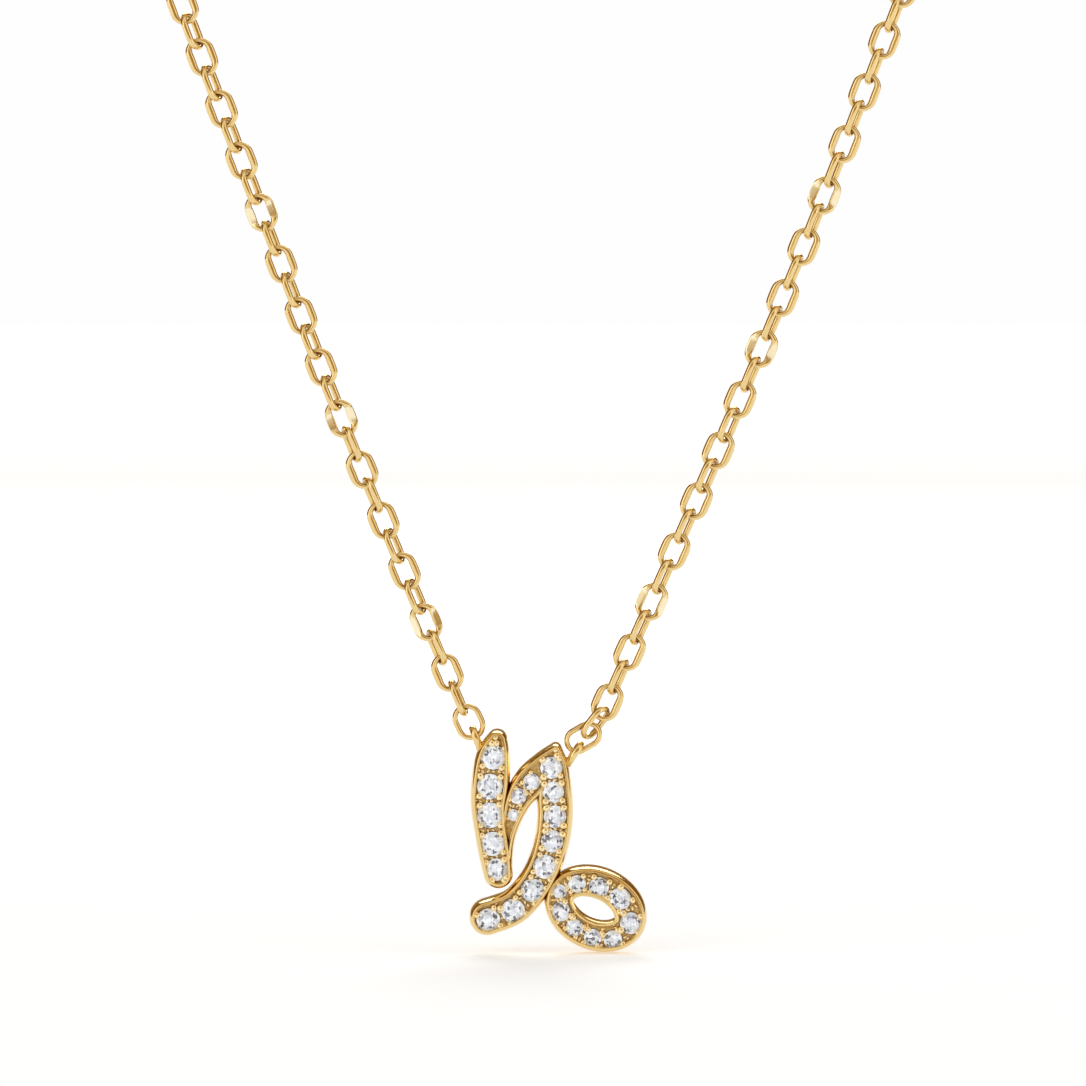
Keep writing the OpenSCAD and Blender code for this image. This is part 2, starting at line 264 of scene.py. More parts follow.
def polished_gold(name, roughness, light=GOLD, shade=GOLD_DEEP, painted_shade_reach=PAINTED_SHADE_REACH):
    gold = Finish(name)
    cloud = gold.noise(CLOUD_SCALE, 3.0)
    bump = gold.node("ShaderNodeBump", inputs={**WIPE_BUMP, "Height": gold.noise(WIPE_SCALE, 4.0)})
    # Painted shade: the colour darkens to a deep brown in nooks, by how little room an occlusion test
    # finds round a point.
    unshaded_share = gold.node("ShaderNodeAmbientOcclusion", {"samples": 6, "only_local": True},
                           {"Distance": painted_shade_reach * MM}, out="AO")
    skin = gold.node("ShaderNodeBsdfPrincipled", inputs={
        "Base Color": gold.mixed(unshaded_share ** PAINTED_SHADE_POWER, CREVICE_PAINTED_SHADE, gold.mixed(cloud * 0.5, light, shade)),
        "Metallic": 1.0,
        "Roughness": roughness + 0.08 * cloud,
        "Normal": bump,
    })
    return gold.done(skin)


def grainy_gold(name):
    gold = Finish(name)
    grain = gold.noise(GRAIN_SCALE, 5.0, Roughness=0.6)
    spark = gold.math("MULTIPLY_ADD", grain, *GRAIN_SPARK)
    bump = gold.node("ShaderNodeBump", inputs={**GRAIN_BUMP, "Height": grain})
    # Painted shade: the floor's colour darkens to a brown in nooks, by the same kind of occlusion test.
    unshaded_share = gold.node("ShaderNodeAmbientOcclusion", {"samples": 8},
                           {"Distance": FLOOR_PAINTED_SHADE_REACH * MM}, out="AO")
    lit = gold.mixed(spark, FLOOR_SHADE, FLOOR_LIGHT)
    skin = gold.node("ShaderNodeBsdfPrincipled", inputs={
        "Base Color": gold.mixed(unshaded_share ** PAINTED_SHADE_POWER, FLOOR_PAINTED_SHADE, lit),
        "Metallic": 0.55,
        "Roughness": 0.22 + 0.2 * grain,
        "Normal": bump,
    })
    return gold.done(skin)


pendant_gold = polished_gold("pendant_gold", 0.11)
floor_gold = grainy_gold("bright_cut_gold")


# The setting: one casting of four ribbons, each a polished rim round a sunk floor. A ribbon is
# drawn by the circles along its middle, x, y and half width, and its walls lean in to the rim.
LEAF = [(-2.19, 10.29, 0.5), (-2.39, 9.43, 0.83), (-2.52, 8.2, 0.93), (-2.6, 7.1, 0.86),
        (-2.48, 5.95, 0.81), (-2.3, 4.9, 0.8), (-2.14, 3.9, 0.72)]
ARCH = [(0.6, 9.85, 0.3), (0.33, 9.35, 0.58), (0.02, 8.88, 0.78), (-0.57, 8.31, 0.81),
        (-1.12, 7.57, 0.69), (-1.48, 6.67, 0.55), (-1.68, 5.71, 0.4), (-1.72, 4.76, 0.3),
        (-1.71, 4.1, 0.27)]
STEM = [(0.6, 9.85, 0.3), (0.54, 9.35, 0.56), (0.52, 8.85, 0.75), (0.56, 7.62, 0.87),
        (0.58, 6.67, 0.87), (0.45, 5.57, 0.86), (0.12, 4.43, 0.83), (-0.48, 3.29, 0.82),
        (-1.4, 2.29, 0.85), (-2.67, 1.79, 0.87)]
LOOP = (2.52, 2.19, 2.54, 1.98, -23)
LOOP_HOLE = (2.45, 2.21, 1.08, 0.5, -26)
ARCH_DROP = 0.05
LOOP_DROP = 0.12
BACK = -0.6
TOP = 0.85
FLOOR_DEPTH = 0.3
# Height over which a wall leans in below its ridge, and by how much
SHOULDER = 0.8
WALL_LEAN = 0.19
# How far the hollow is set in from the outline, at its rounded edge and at its floor
RIM_INNER = 0.23
RIM_FOOT = 0.31
RIM_ROUND = 0.12
RIM_STEP = 0.03
BACK_ROUND = 0.08
COLLAR = 0.2
# Least half width that an inset leaves, and how far a tool reaches past what it cuts
LEAST_REACH = 0.01
CLEAR = 1
CURVE_STEPS = 10
HUNG = (Matrix.Translation(Vector((0, PENDANT_Y, FOOT_Z)) * MM)
        @ Matrix.Rotation(math.radians(90), 4, "X") @ Matrix.Scale(MM, 4))


def smooth(rows, steps):
    """Points of a curve through the rows of a table."""
    rows = [Vector(row) for row in rows]
    last = len(rows) - 1
    points = []
    for i in range(last):
        a, b, c, d = rows[max(i - 1, 0)], rows[i], rows[i + 1], rows[min(i + 2, last)]
        for k in range(steps):
            t = k / steps
            points.append(b + (c - a) * t / 2 + (a - 2.5 * b + 2 * c - d / 2) * t * t
                          + (3 * b - 3 * c + d - a) * t ** 3 / 2)
    return points + [rows[last]]


def ribbon(rows, cap_steps=28):
    """Outline of a ribbon for any inset: it touches all the circles along the middle."""
    middle = smooth(rows, CURVE_STEPS)
    last = len(middle) - 1
    heading, side = [], []
    for i in range(last + 1):
        d = middle[min(i + 1, last)] - middle[max(i - 1, 0)]
        heading.append(math.atan2(d.y, d.x))
        side.append(math.pi / 2 + math.asin(d.z / math.hypot(d.x, d.y)))
    turns = [(i, side[i]) for i in range(last + 1)]
    turns += [(last, side[last] * (1 - 2 * k / cap_steps)) for k in range(1, cap_steps)]
    turns += [(i, -side[i]) for i in range(last, -1, -1)]
    turns += [(0, -side[0] - 2 * (math.pi - side[0]) * k / cap_steps) for k in range(1, cap_steps)]

    def outline(inset):
        points = []
        for i, turn in turns:
            reach = max(middle[i].z - inset, LEAST_REACH)
            angle = heading[i] + turn
            points.append((middle[i].x + reach * math.cos(angle), middle[i].y + reach * math.sin(angle)))
        return points

    return outline


def oval(row, point=1.0, steps=120):
    """Outline of an ellipse for any inset, with ends that are pointed if point is over 1."""
    x, y, half_length, half_width, tilt = row
    tilt = math.radians(tilt)

    def outline(inset):
        points = []
        for k in range(steps):
            a = 2 * math.pi * k / steps
            along = (half_length - inset) * math.cos(a)
            across = (half_width - inset) * math.copysign(abs(math.sin(a)) ** point, math.sin(a))
            points.append((x + along * math.cos(tilt) - across * math.sin(tilt),
                           y + along * math.sin(tilt) + across * math.cos(tilt)))
        return points

    return outline


def edges_between(verts):
    """Edges that join the vertices of a list, in the list's order."""
    members = set(verts)
    return list(dict.fromkeys(edge for vert in verts for edge in vert.link_edges
                              if members.issuperset(edge.verts)))


def lofted(outline, levels):
    """Closed solid through an outline's insets, each at its own height."""
    shape = bmesh.new()
    ring = bmesh.ops.create_circle(shape, segments=len(outline(0)), radius=1)["verts"]
    for step, (inset, height) in enumerate(levels):
        if step:
            order = {tuple(vert.co): k for k, vert in enumerate(ring)}
            grown = bmesh.ops.extrude_edge_only(shape, edges=edges_between(ring))["geom"]
            ring = sorted((part for part in grown if isinstance(part, bmesh.types.BMVert)),
                          key=lambda vert: order[tuple(vert.co)])
        for vert, (x, y) in zip(ring, outline(inset)):
            vert.co = (x, y, height)
    bmesh.ops.holes_fill(shape, edges=shape.edges, sides=0)
    return shape


def solid(name, shape):
    """Object of a finished shape, with its faces turned outwards."""
    bmesh.ops.recalc_face_normals(shape, faces=shape.faces)
    mesh = bpy.data.meshes.new(name)
    shape.to_mesh(mesh)
    shape.free()
    obj = bpy.data.objects.new(name, mesh)
    bpy.context.scene.collection.objects.link(obj)
    return obj


def changed(body, tool, operation):
    """Joins a tool to a body or cuts it out of the body, and takes the tool away."""
    change = body.modifiers.new(operation, "BOOLEAN")
    change.operation = operation
    change.object = tool
    change.solver = "EXACT"
    bpy.context.view_layer.update()
    after = bpy.context.evaluated_depsgraph_get()
    mesh = bpy.data.meshes.new_from_object(body.evaluated_get(after))
    body.modifiers.clear()
    body.data = mesh
    bpy.data.objects.remove(tool)


def wall_levels(top, steps=8):
    """Insets and heights of a wall, from its rounded back edge to the ridge of its rim."""
    levels = []
    for turn in (0, 30, 60, 90):
        a = math.radians(turn)
        levels.append((BACK_ROUND * (1 - math.sin(a)), BACK + BACK_ROUND * (1 - math.cos(a))))
    for k in range(steps + 1):
        a = math.pi / 2 * k / steps
        levels.append((WALL_LEAN * (1 - math.cos(a)), top - SHOULDER + SHOULDER * math.sin(a)))
    return levels


def tall_wall(outline, top):
    """A ribbon's wall carried up past every rim, to cut from a hollow that would run into it."""
    return lofted(outline, wall_levels(top)[:-1] + [(WALL_LEAN, TOP + 2 * CLEAR)])


def pocket_levels(top, steps=4):
    """Insets and heights of the hollow inside a rim, from its floor upwards."""
    levels = [(RIM_FOOT, top - FLOOR_DEPTH)]
    for k in range(steps + 1):
        a = math.pi / 2 * k / steps
        levels.append((RIM_INNER + (RIM_FOOT - RIM_STEP - RIM_INNER) * (1 - math.sin(a)),
                       top - RIM_ROUND * math.cos(a)))
    return levels + [(RIM_INNER, top + CLEAR)]


leaf, arch, stem = ribbon(LEAF), ribbon(ARCH), ribbon(STEM)
loop, hole = oval(LOOP), oval(LOOP_HOLE, point=1.3)
arch_top, loop_top = TOP - ARCH_DROP, TOP - LOOP_DROP
setting = solid("setting_gold", lofted(leaf, wall_levels(TOP)))
for name, outline, top in (("arch", arch, arch_top), ("stem", stem, arch_top), ("loop", loop, loop_top)):
    changed(setting, solid(name, lofted(outline, wall_levels(top))), "UNION")
changed(setting, solid("leaf_hollow", lofted(leaf, pocket_levels(TOP))), "DIFFERENCE")
bow_hollow = solid("bow_hollow", lofted(stem, pocket_levels(arch_top)))
changed(bow_hollow, solid("arch_hollow", lofted(arch, pocket_levels(arch_top))), "UNION")
changed(bow_hollow, solid("leaf_wall", tall_wall(leaf, TOP)), "DIFFERENCE")
changed(setting, bow_hollow, "DIFFERENCE")
loop_hollow = solid("loop_hollow", lofted(loop, pocket_levels(loop_top)))
changed(loop_hollow, solid("stem_wall", tall_wall(stem, arch_top)), "DIFFERENCE")
# Collar round the loop's hole, and the hole itself: insets, and heights
collar_levels = [(-RIM_FOOT + 0.05, BACK), (-RIM_FOOT + 0.05, loop_top - FLOOR_DEPTH),
                 (-COLLAR - 0.03, loop_top - 0.1), (-COLLAR + 0.02, loop_top - 0.04),
                 (-COLLAR + 0.07, loop_top - 0.015), (-COLLAR + 0.12, loop_top + 2 * CLEAR)]
hole_levels = [(-0.05, BACK - CLEAR), (-0.05, BACK), (0, BACK + 0.06), (0, loop_top - 0.12),
               (-0.03, loop_top - 0.04), (-0.1, loop_top), (-0.1, loop_top + CLEAR)]
changed(loop_hollow, solid("hole_collar", lofted(hole, collar_levels)), "DIFFERENCE")
changed(setting, loop_hollow, "DIFFERENCE")
changed(setting, solid("hole", lofted(hole, hole_levels)), "DIFFERENCE")

# Seats: under each stone a cone with a small hole to the back, turned about the stone's axis.
# The stones' places and widths are the frame's, and the shares are of a stone's width.
ROWS = {"leaf": 5, "arch": 3, "stem": 8, "loop": 9}
SEAT_GAP = 0.04
AZURE = 0.18
GIRDLE_SHARE = 0.17
HALF_GIRDLE_SHARE = 0.015
PAVILION_SHARE = 0.43
CROWN_SHARE = 0.14
CROWN_ROOM = 0.02
TABLE_SHARE = 0.57
flat = HUNG.inverted()
stones = {}
for ribbon_name, count in ROWS.items():
    row = []
    for i in range(1, count + 1):
        low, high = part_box(f"stone_{ribbon_name}_{i}")
        a, b = flat @ low, flat @ high
        across = b.x - a.x
        girdle = max(a.z, b.z) - GIRDLE_SHARE * across
        row.append((Vector(((a.x + b.x) / 2, (a.y + b.y) / 2, girdle)), across))
    stones[ribbon_name] = row


def turned(profile, steps=32):
    """Solid of revolution about Z from a profile of radii and heights."""
    shape = bmesh.new()
    verts = [shape.verts.new((x, 0, z)) for x, z in profile]
    edges = [shape.edges.new(pair) for pair in zip(verts, verts[1:])]
    bmesh.ops.spin(shape, geom=verts + edges, cent=(0, 0, 0), axis=(0, 0, 1), angle=2 * math.pi,
                   steps=steps, use_merge=True)
    bmesh.ops.remove_doubles(shape, verts=shape.verts, dist=1e-6)
    bmesh.ops.recalc_face_normals(shape, faces=shape.faces)
    return shape


def added(whole, shape, place):
    """Puts a copy of a shape into a larger one."""
    copy = bpy.data.meshes.new("copy")
    shape.to_mesh(copy)
    copy.transform(place)
    whole.from_mesh(copy)
    bpy.data.meshes.remove(copy)


seats = bmesh.new()
for row in stones.values():
    for centre, across in row:
        r = across / 2 + SEAT_GAP
        table = TABLE_SHARE * across / 2 + SEAT_GAP
        lip = HALF_GIRDLE_SHARE * across + CROWN_ROOM
        low = -HALF_GIRDLE_SHARE * across - SEAT_GAP
        drop = PAVILION_SHARE * across + SEAT_GAP
        seat = turned([(0, CLEAR), (table, CLEAR), (table, lip + CROWN_SHARE * across), (r, lip),
                       (r, low), (AZURE, low - drop * (1 - AZURE / r)), (AZURE, -3 * CLEAR),
                       (0, -3 * CLEAR)])
        added(seats, seat, Matrix.Translation(centre))
changed(setting, solid("seats", seats), "DIFFERENCE")

# The floors and seats keep the graver's grain, and every other face is polished.
FLOOR_SLOPE = 0.5
FLOOR_SLACK = 0.01
SMOOTH_BELOW = math.radians(32)
setting.data.materials.clear()
setting.data.materials.append(pendant_gold)
setting.data.materials.append(floor_gold)
shape = bmesh.new()
shape.from_mesh(setting.data)
for face in shape.faces:
    height = face.calc_center_median().z
    if face.normal.z > FLOOR_SLOPE and BACK + 2 * FLOOR_SLACK < height < TOP - FLOOR_DEPTH + FLOOR_SLACK:
        face.material_index = 1
shape.to_mesh(setting.data)
shape.free()
setting.data.transform(HUNG)
setting.data.shade_smooth()
setting.data.set_sharp_from_angle(angle=SMOOTH_BELOW)
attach(setting, "pendant")
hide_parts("setting")


# Bead prongs: little domes of gold, about 0.36 mm across, raised with a graver and pushed over the
# edge of each stone, four to a stone and smaller by the small stones. The leaf's two ends and the
# head of the bow keep a few loose ones: x, y and top of the rim.
BEAD = 0.36
BEAD_SIZES = (0.88, 1.1)
BEAD_FORM = (1.05, 0.95, 0.9)
BEAD_LAP = 0.12
BEAD_RISE = 0.12
BEAD_STRAY = 0.015
# Width of the stones from which on the beads have their full size
BEAD_FULL = 1.05
# By how much of its size a bead may shrink for the wall, and the room that it needs there
BEAD_SHRINK = 0.35
WALL_ROOM = 0.1
LOOSE_BEADS = [(-2.45, 10.16, TOP), (-2.22, 10.17, TOP), (-2.28, 10.43, TOP), (-1.86, 3.6, TOP),
               (-2.43, 3.6, TOP), (0.6, 9.86, TOP - ARCH_DROP), (0.66, 9.57, TOP - ARCH_DROP)]
DROPS = {"leaf": 0, "arch": ARCH_DROP, "stem": ARCH_DROP, "loop": LOOP_DROP}
# A paler copy of the gold, a painted highlight on the beads; the burrs take it too.
BEAD_PAINTED_HIGHLIGHT = (1.0, 0.86, 0.56, 1)
BEAD_PAINTED_HIGHLIGHT_DEEP = (0.92, 0.7, 0.34, 1)
bead_gold_painted_highlight = polished_gold("bead_gold_painted_highlight", 0.19, BEAD_PAINTED_HIGHLIGHT, BEAD_PAINTED_HIGHLIGHT_DEEP)
hand = random.Random(4)
beads = bmesh.new()


def room(name, spot):
    """Distance from a point of a ribbon's floor to the outside of its wall."""
    if name == "loop":
        return min((Vector(point) - spot).length for point in loop(0) + hole(0))
    tables = [LEAF] if name == "leaf" else [ARCH, STEM]
    circles = [circle for table in tables for circle in smooth(table, CURVE_STEPS)]
    return max(circle.z - (circle.xy - spot).length for circle in circles)


def bead(x, y, height, share=1.0):
    """A dome with its own small differences, as a hand tool leaves it."""
    size = BEAD * share * hand.uniform(*BEAD_SIZES) / 2
    x += hand.uniform(-BEAD_STRAY, BEAD_STRAY)
    y += hand.uniform(-BEAD_STRAY, BEAD_STRAY)
    place = (Matrix.Translation((x, y, height)) @ Matrix.Rotation(hand.uniform(0, math.pi), 4, "Z")
             @ Matrix.Diagonal([size * part for part in BEAD_FORM] + [1]))
    bmesh.ops.create_uvsphere(beads, u_segments=14, v_segments=8, radius=1, matrix=place)


for name, row in stones.items():
    floor = TOP - DROPS[name] - FLOOR_DEPTH
    for i, (centre, across) in enumerate(row):
        closed = name == "loop"
        after = row[(i + 1) % len(row)][0] if closed else row[min(i + 1, len(row) - 1)][0]
        before = row[i - 1][0] if closed or i else row[0][0]
        heading = math.atan2(after.y - before.y, after.x - before.x)
        share = min(1, across / BEAD_FULL)
        reach = across / 2 + share * (BEAD / 2 - BEAD_LAP)
        for k in range(4):
            angle = heading + math.radians(45 + 90 * k)
            outward = Vector((math.cos(angle), math.sin(angle)))
            spot = centre.xy + reach * outward
            short = max(0, share * BEAD / 2 + WALL_ROOM - room(name, spot))
            less = min(short, BEAD_SHRINK * share * BEAD / 2)
            spot -= (short - less) * outward
            bead(spot.x, spot.y, floor + BEAD_RISE * share, share - less / (BEAD / 2))
for x, y, top in LOOSE_BEADS:
    bead(x, y, top - FLOOR_DEPTH + BEAD_RISE)
bead_piece = solid("bead_prongs", beads)
bead_piece.data.materials.append(bead_gold_painted_highlight)
bead_piece.data.transform(HUNG)
bead_piece.data.shade_smooth()
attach(bead_piece, "pendant")

# Burrs: crumbs of gold, up to 0.3 mm long, that the graver has left across the floor between
# neighbouring stones. Offsets are shares of the smaller stone's width.
BURR = (0.13, 0.21)
BURR_FORM = (1.4, 0.85, 1)
BURR_RISE = 0.03
BURR_STRAY = 0.04
BURR_ROOM = 0.2
BURR_OFFSETS = (-0.52, -0.36, -0.14, 0.1, 0.34, 0.5)
burrs = bmesh.new()
for name, row in stones.items():
    floor = TOP - DROPS[name] - FLOOR_DEPTH
    pairs = list(zip(row, row[1:])) + ([(row[-1], row[0])] if name == "loop" else [])
    for (a, across_a), (b, across_b) in pairs:
        # The middle of the gap between the two stones
        way = b - a
        middle = a + way * (0.5 + 0.25 * (across_a - across_b) / way.length)
        aside = Vector((-way.y, way.x, 0)) / way.length
        for offset in BURR_OFFSETS:
            spot = middle + aside * min(across_a, across_b) * offset
            short = max(0, BURR_ROOM - room(name, spot.xy))
            spot += (middle - spot).normalized() * short
            size = hand.uniform(*BURR) / 2
            x = spot.x + hand.uniform(-BURR_STRAY, BURR_STRAY)
            y = spot.y + hand.uniform(-BURR_STRAY, BURR_STRAY)
            place = (Matrix.Translation((x, y, floor + BURR_RISE))
                     @ Matrix.Rotation(hand.uniform(0, math.pi), 4, "Z")
                     @ Matrix.Diagonal([size * part for part in BURR_FORM] + [1]))
            bmesh.ops.create_uvsphere(burrs, u_segments=10, v_segments=6, radius=1, matrix=place)
burr_piece = solid("graver_burrs", burrs)
# The burrs take the beads' paler gold, a painted highlight.
burr_piece.data.materials.append(bead_gold_painted_highlight)
burr_piece.data.transform(HUNG)
burr_piece.data.shade_smooth()
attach(burr_piece, "pendant")


# Bails: two half rings of flattened wire, soldered to the heads of the leaf and the bow, that
# hold the lowest links of the two chains. Rows: x, y, lean in degrees and length of the legs.
BAILS = {"bail_left": (-3.21, 10.43, 21, 0.7), "bail_right": (1.56, 9.72, -34, 0.75)}
BAIL_REACH = 0.43
BAIL_THICK = 0.29
BAIL_WIDE = 0.35
BAIL_STEPS = 14


def swept(shape, section, moves, turn_steps, run_steps=1):
    """Carries a ring of points along moves: turns, as an angle and a centre, and straight runs."""
    for move in moves:
        turning = len(move) == 2
        for step in range(1 if turning else run_steps):
            edges = edges_between(section)
            if turning:
                angle, centre = move
                spun = bmesh.ops.spin(shape, geom=section + edges, cent=centre, axis=(0, 0, 1),
                                      angle=math.radians(angle), steps=turn_steps * angle // 180)
                last = spun["geom_last"]
            else:
                last = bmesh.ops.extrude_edge_only(shape, edges=edges)["geom"]
            section = [part for part in last if isinstance(part, bmesh.types.BMVert)]
            if not turning:
                bmesh.ops.translate(shape, vec=Vector(move) / run_steps, verts=section)


for name, (x, y, lean, leg) in BAILS.items():
    shape = bmesh.new()
    flatten = (Matrix.Translation((BAIL_REACH, -leg, 0)) @ Matrix.Rotation(math.radians(90), 4, "X")
               @ Matrix.Diagonal((BAIL_THICK / 2, BAIL_WIDE / 2, 1, 1)))
    foot = bmesh.ops.create_circle(shape, segments=18, radius=1, matrix=flatten)["verts"]
    swept(shape, foot, [(0, leg, 0), (180, (0, 0, 0)), (0, -leg, 0)], BAIL_STEPS)
    bmesh.ops.holes_fill(shape, edges=shape.edges, sides=0)
    piece = solid(name, shape)
    stand = (Matrix.Translation((x, y, 0)) @ Matrix.Rotation(math.radians(lean), 4, "Z")
             @ Matrix.Rotation(math.radians(90), 4, "Y"))
    piece.data.transform(HUNG @ stand)
    piece.data.materials.append(pendant_gold)
    piece.data.shade_smooth()
    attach(piece, "pendant")


# Stones: 25 round brilliants as the frame has them, colourless. In each, small facets of its own
# pattern lean a little to all sides, and their colours are painted reflections: some are dark,
# most of them in a ring near the table's edge, and a faint painted glow lifts the pale ones. A ramp
# turns the chance of each facet into its painted reflection.
STONE_PAINTED_REFLECTIONS = [(0.0, (0.1, 0.1, 0.13)), (0.1, (0.22, 0.23, 0.29)), (0.18, (0.56, 0.59, 0.68)),
                (0.32, (0.8, 0.85, 0.93)), (1.0, (0.94, 0.965, 1.0))]
NO_PAINTED_GLOW = (0.0, 0.0, 0.0, 1)
PAINTED_GLOW = (0.27, 0.28, 0.31, 1)
FACET_SCALE = 7200
FACET_LEAN = 0.4
DARK_RING = 0.66
RING_FALL = 3.5
RING_DARK = 0.26
PALER = {"leaf": 0.15, "arch": 0.15, "stem": 0.15, "loop": 0.08}


def stone_finish(ribbon_name, i, centre, across):
    """Material of a stone, with its pattern of painted reflections about the stone's middle."""
    gem = Finish(f"diamond_{ribbon_name}_{i + 1}")
    here = gem.node("ShaderNodeTexCoord", out="Object")
    away = gem.vector("LENGTH", gem.vector("SUBTRACT", here, HUNG @ centre), out="Value")
    share = gem.math("MINIMUM", away * (2 / (across * MM)), 1.0)
    tilt = gem.node("ShaderNodeTexVoronoi", {"distance": "MANHATTAN"},
                    {"Vector": gem.vector("ADD", here, (0.01 * i, 0, 0.02 * i)), "Scale": FACET_SCALE,
                     "Randomness": 0.8}, out="Color")
    ring = gem.math("MAXIMUM", 1 - gem.math("ABSOLUTE", share - DARK_RING) * RING_FALL, 0.0)
    chance = gem.node("ShaderNodeSeparateXYZ", inputs={0: tilt}) + PALER[ribbon_name] - RING_DARK * ring
    lean = gem.node("ShaderNodeVectorMath", {"operation": "SCALE"},
                    {0: gem.vector("SUBTRACT", tilt, (0.5, 0.5, 0.5)), "Scale": FACET_LEAN})
    face = gem.node("ShaderNodeNewGeometry", out="Normal")
    # Painted reflections: the base colour shows bright and dark facets, and a painted glow in the emission
    # lifts the pale ones.
    skin = gem.node("ShaderNodeBsdfPrincipled", inputs={
        "Base Color": gem.node("ShaderNodeValToRGB", {"stops": STONE_PAINTED_REFLECTIONS}, {"Fac": chance}),
        "Roughness": 0.04 + 0.04 * chance,
        "IOR": 2.1,
        "Normal": gem.vector("NORMALIZE", gem.vector("ADD", face, lean)),
        "Emission Color": gem.mixed(chance ** 2.0, NO_PAINTED_GLOW, PAINTED_GLOW),
        "Emission Strength": 1.0,
    })
    return gem.done(skin)


for ribbon_name, row in stones.items():
    for i, (centre, across) in enumerate(row):
        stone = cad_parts[f"stone_{ribbon_name}_{i + 1}"]
        stone.data.materials.clear()
        stone.data.materials.append(stone_finish(ribbon_name, i, centre, across))


# Chain: fine oval cable links of soldered wire, 1.28 by 1.9 mm, stouter along their sides. Of those
# that face out, three on each side are cut flat and bright, with a painted highlight of paler gold
# on the flats, and no link lies quite like the next. The first 32 of each side have more faces than
# those further on.
LINK_PITCH = 1.315
LINK_WIRE = 0.25
LINK_WIDTH = 1.28
LINK_LENGTH = 1.9
# How much wider the wire is along a link's sides, and the lowest links' sides, and how much deeper
SIDE_STOUT = 1.45
FIRST_STOUT = 1.1
WIRE_TALL = 1.25
# Cut links: colours, a paler gold that is a painted highlight on their flats, how much wider their
# sides are, the height of their flats, the share of the length at which these end, and how far the
# cut has risen there over half a wire
CUT_PAINTED_HIGHLIGHT = (1.0, 0.9, 0.64, 1)
CUT_PAINTED_HIGHLIGHT_DEEP = (0.98, 0.82, 0.5, 1)
CUT_WIDE = 1.13
CUT_TOP = 0.05
CUT_REACH = 0.7
CUT_RISE = 0.08
# Sides of the wire, steps of each half turn and pieces of each straight side
FINE = (12, 16, 4)
COARSE = (6, 4, 1)
# Turns of the links that stand upright, from the pendant upwards, and for those further on
UPRIGHT_TURNS = {"left": (86, 109, 70, 72, 110, 109, 70, 70, 74, 76, 72, 71),
                 "right": (68, 66, 65, 64, 66, 64)}
UPRIGHT_TURN = 70
UPRIGHT_AT = {"left": 0, "right": 1}
ROLL_STRAY = 4
FRONT_LINKS = 96
FINE_LINKS = 32
# Links behind the front ones, and how far short of the nape the middle of the last one lies
REAR_LINKS = {"left": (71, 4.73), "right": (73, 3.97)}
BACK_RIGHT = [(23.5, -60.5, -79.5), (30.5, -55.5, -61), (37.5, -46.5, -43), (43, -33, -28),
              (45.5, -17, -17.5), (45, 0, -11), (39.5, 16.5, -6.5), (30, 30, -3.5), (16.5, 40, -1),
              (0, 44, 0)]
FRONT_LEFT = [(-3.8, -62, -130.42), (-9.1, -62, -117.75), (-13.4, -62, -106.68), (-17.2, -62, -96.65)]
FRONT_RIGHT = [(2.8, -62, -130.62), (8.2, -62, -118.35), (12.9, -62, -107.08), (17, -62, -96.45)]
ROUTES = {"left": FRONT_LEFT + [(-x, y, z) for x, y, z in BACK_RIGHT], "right": FRONT_RIGHT + BACK_RIGHT}
# Lowest links: x, y, lean, length, width and roll in the flat drawing
FIRST_LINKS = {"left": [(-3.54, 11.14, 25, 1.8, 1.42, 0)],
               "right": [(1.92, 10.39, -60, 1.9, 1.29, 0), (2.5, 11.1, -38, 1.9, 1.29, 58)]}
# Links that are cut, and by how much their flats slope down outwards
CUT_AT = {"left": {3: 0.42, 11: -0.1, 19: 0.1}, "right": {4: 0.38, 14: 0.15, 20: 0.22}}
# Distance from the middle at which a link would face straight away from the neck's axis. Nearer,
# it faces more to the front or the back.
SIDE_REACH = 60
ROUTE_STEPS = 16
# Jump ring between the right chain and the clasp: its middle, the radius to the middle of its
# wire, and the wire
JUMP_PLACE = (2.5, 44, 0)
JUMP_RADIUS = 1
JUMP_WIRE = 0.4
CHAIN_SMOOTH = math.radians(50)
# Painted highlight: the cut flats take a paler copy of the gold. Both golds darken in nooks with painted
# shade.
cut_gold_painted_highlight = polished_gold("cut_gold_painted_highlight", 0.17, CUT_PAINTED_HIGHLIGHT, CUT_PAINTED_HIGHLIGHT_DEEP)
chain_gold = polished_gold("chain_gold", 0.14, painted_shade_reach=0.32)


